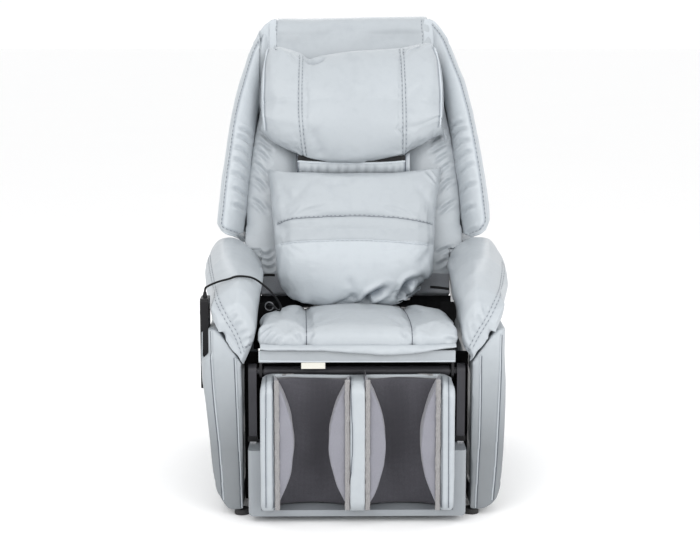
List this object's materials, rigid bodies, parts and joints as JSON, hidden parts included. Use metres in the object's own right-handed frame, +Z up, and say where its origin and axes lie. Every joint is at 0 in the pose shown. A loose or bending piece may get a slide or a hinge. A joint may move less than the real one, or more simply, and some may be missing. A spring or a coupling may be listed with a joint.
{
  "type": "massage chair",
  "caption": "Padded electric massage chair with winged reclining back, head pillow, lumbar cushion, rounded arms, corded remote and a lifting calf rest.",
  "frame": {"origin": "under the middle of the chair, at floor level", "axes": "+Z up, +X to the viewer's right when looking at the front, the sitter faces -Y"},
  "size_m": [0.7632, 0.9995, 1.168],
  "materials": {
    "light_leather": "satin, fine grain",
    "charcoal_knit": "matte knit",
    "lilac_fabric": "matte",
    "ribbed_trim": "matte ribbed",
    "black_steel": "satin powder coat",
    "grey_steel": "satin paint",
    "bright_steel": "machined",
    "black_plastic": "matte",
    "silver_plastic": "satin moulded",
    "grey_plastic": "matte",
    "black_rubber": "matte",
    "black_cloth": "matte lining cloth",
    "cable_jacket": "satin",
    "apron_leather": "glossy",
    "key_plastic": "matte"
  },
  "bodies": {
    "chair_base": {"base_rails": "black_steel", "base_cross_tubes": "black_steel", "seat_frame": "black_steel", "seat_deck": "black_cloth", "base_liner": "black_cloth", "seat_cushion": "light_leather", "seat_apron": "apron_leather", "left_arm_body": "light_leather", "right_arm_body": "light_leather", "left_arm_pad": "light_leather", "right_arm_pad": "light_leather", "floor_glides": "black_rubber", "arm_bolts": "bright_steel", "hinge_pins": "bright_steel", "wheel_forks": "bright_steel", "remote_pocket": "light_leather", "remote_housing": "black_plastic", "remote_cord": "cable_jacket", "cord_grommet": "black_plastic", "control_box": "black_plastic", "air_pump": "grey_plastic", "power_inlet": "black_plastic", "recline_actuator": "black_plastic", "leg_actuator": "black_plastic"},
    "back": {"back_frame": "black_steel", "back_cover": "silver_plastic", "left_wing": "light_leather", "right_wing": "light_leather", "left_bolster": "light_leather", "right_bolster": "light_leather", "back_pad": "light_leather", "head_flap": "light_leather", "head_pillow": "light_leather", "lumbar_cushion": "light_leather", "lift_screw": "bright_steel"},
    "carriage": {"carriage_chassis": "black_steel", "massage_motor": "black_plastic"},
    "left_massage_arm": {"left_massage_arm": "grey_plastic"},
    "right_massage_arm": {"right_massage_arm": "grey_plastic"},
    "left_upper_roller": {"left_upper_roller": "grey_plastic"},
    "left_lower_roller": {"left_lower_roller": "grey_plastic"},
    "left_wheel": {"left_wheel": "black_rubber"},
    "right_upper_roller": {"right_upper_roller": "grey_plastic"},
    "right_lower_roller": {"right_lower_roller": "grey_plastic"},
    "right_wheel": {"right_wheel": "black_rubber"},
    "leg_arms": {"leg_arms": "grey_steel", "leg_end_caps": "black_plastic"},
    "calf_unit": {"leg_slides": "bright_steel", "calf_tray": "light_leather", "calf_linings": "charcoal_knit", "calf_airbags": "lilac_fabric", "calf_trims": "ribbed_trim", "foot_base": "silver_plastic"},
    "recline_rod": {"recline_rod": "bright_steel"},
    "leg_rod": {"leg_rod": "bright_steel"},
    "rocker_switch": {"rocker_switch": "black_plastic"},
    "power_key": {"power_key": "key_plastic"},
    "up_key": {"up_key": "key_plastic"},
    "down_key": {"down_key": "key_plastic"},
    "program_key": {"program_key": "key_plastic"}
  },
  "joints": [
    {"name": "back_recline", "type": "hinge", "parent": "chair_base", "child": "back", "pos_m": [0, 0.15, 0.395], "axis": [-1, 0, 0], "range_deg": [0, 45]},
    {"name": "leg_lift", "type": "hinge", "parent": "chair_base", "child": "leg_arms", "pos_m": [0, -0.385, 0.34], "axis": [-1, 0, 0], "range_deg": [0, 80]},
    {"name": "leg_extend", "type": "slide", "parent": "leg_arms", "child": "calf_unit", "axis": [0, 0, -1], "range_m": [0, 0.0905]},
    {"name": "massage_travel", "type": "slide", "parent": "back", "child": "carriage", "axis": [0, 0.342, 0.9397], "range_m": [0, 0.38]},
    {"name": "left_arm_rock", "type": "hinge", "parent": "carriage", "child": "left_massage_arm", "pos_m": [-0.058, 0.2066, 0.54467], "axis": [1, 0, 0], "range_deg": [-6, 6]},
    {"name": "right_arm_rock", "type": "hinge", "parent": "carriage", "child": "right_massage_arm", "pos_m": [0.058, 0.2066, 0.54467], "axis": [1, 0, 0], "range_deg": [-6, 6]},
    {"name": "left_upper_roller_spin", "type": "hinge", "parent": "left_massage_arm", "child": "left_upper_roller", "pos_m": [-0.077, 0.21704, 0.60259], "axis": [1, 0, 0], "continuous": true},
    {"name": "left_lower_roller_spin", "type": "hinge", "parent": "left_massage_arm", "child": "left_lower_roller", "pos_m": [-0.077, 0.17737, 0.49358], "axis": [1, 0, 0], "continuous": true},
    {"name": "right_upper_roller_spin", "type": "hinge", "parent": "right_massage_arm", "child": "right_upper_roller", "pos_m": [0.077, 0.21704, 0.60259], "axis": [1, 0, 0], "continuous": true},
    {"name": "right_lower_roller_spin", "type": "hinge", "parent": "right_massage_arm", "child": "right_lower_roller", "pos_m": [0.077, 0.17737, 0.49358], "axis": [1, 0, 0], "continuous": true},
    {"name": "left_wheel_spin", "type": "hinge", "parent": "chair_base", "child": "left_wheel", "pos_m": [-0.238, 0.366, 0.033], "axis": [1, 0, 0], "continuous": true},
    {"name": "right_wheel_spin", "type": "hinge", "parent": "chair_base", "child": "right_wheel", "pos_m": [0.238, 0.366, 0.033], "axis": [1, 0, 0], "continuous": true},
    {"name": "recline_rod_slide", "type": "slide", "parent": "chair_base", "child": "recline_rod", "axis": [0, -1, 0], "range_m": [0, 0.0539]},
    {"name": "leg_rod_slide", "type": "slide", "parent": "chair_base", "child": "leg_rod", "axis": [0, -1, 0], "range_m": [0, 0.0653]},
    {"name": "rocker_tilt", "type": "hinge", "parent": "chair_base", "child": "rocker_switch", "pos_m": [-0.143, 0.226, 0.101], "axis": [1, 0, 0], "range_deg": [-7, 7]},
    {"name": "power_key_press", "type": "slide", "parent": "chair_base", "child": "power_key", "axis": [1, 0, 0], "range_m": [0, 0.001], "stiffness_N_per_m": 400},
    {"name": "up_key_press", "type": "slide", "parent": "chair_base", "child": "up_key", "axis": [1, 0, 0], "range_m": [0, 0.001], "stiffness_N_per_m": 400},
    {"name": "down_key_press", "type": "slide", "parent": "chair_base", "child": "down_key", "axis": [1, 0, 0], "range_m": [0, 0.001], "stiffness_N_per_m": 400},
    {"name": "program_key_press", "type": "slide", "parent": "chair_base", "child": "program_key", "axis": [1, 0, 0], "range_m": [0, 0.001], "stiffness_N_per_m": 400}
  ],
  "couplings": [
    {"joint": "leg_extend", "follows": "leg_lift", "m_per_rad": 0.06446},
    {"joint": "right_arm_rock", "follows": "left_arm_rock", "ratio": -1},
    {"joint": "recline_rod_slide", "follows": "back_recline", "m_per_rad": 0.06803},
    {"joint": "leg_rod_slide", "follows": "leg_lift", "m_per_rad": 0.04643}
  ]
}
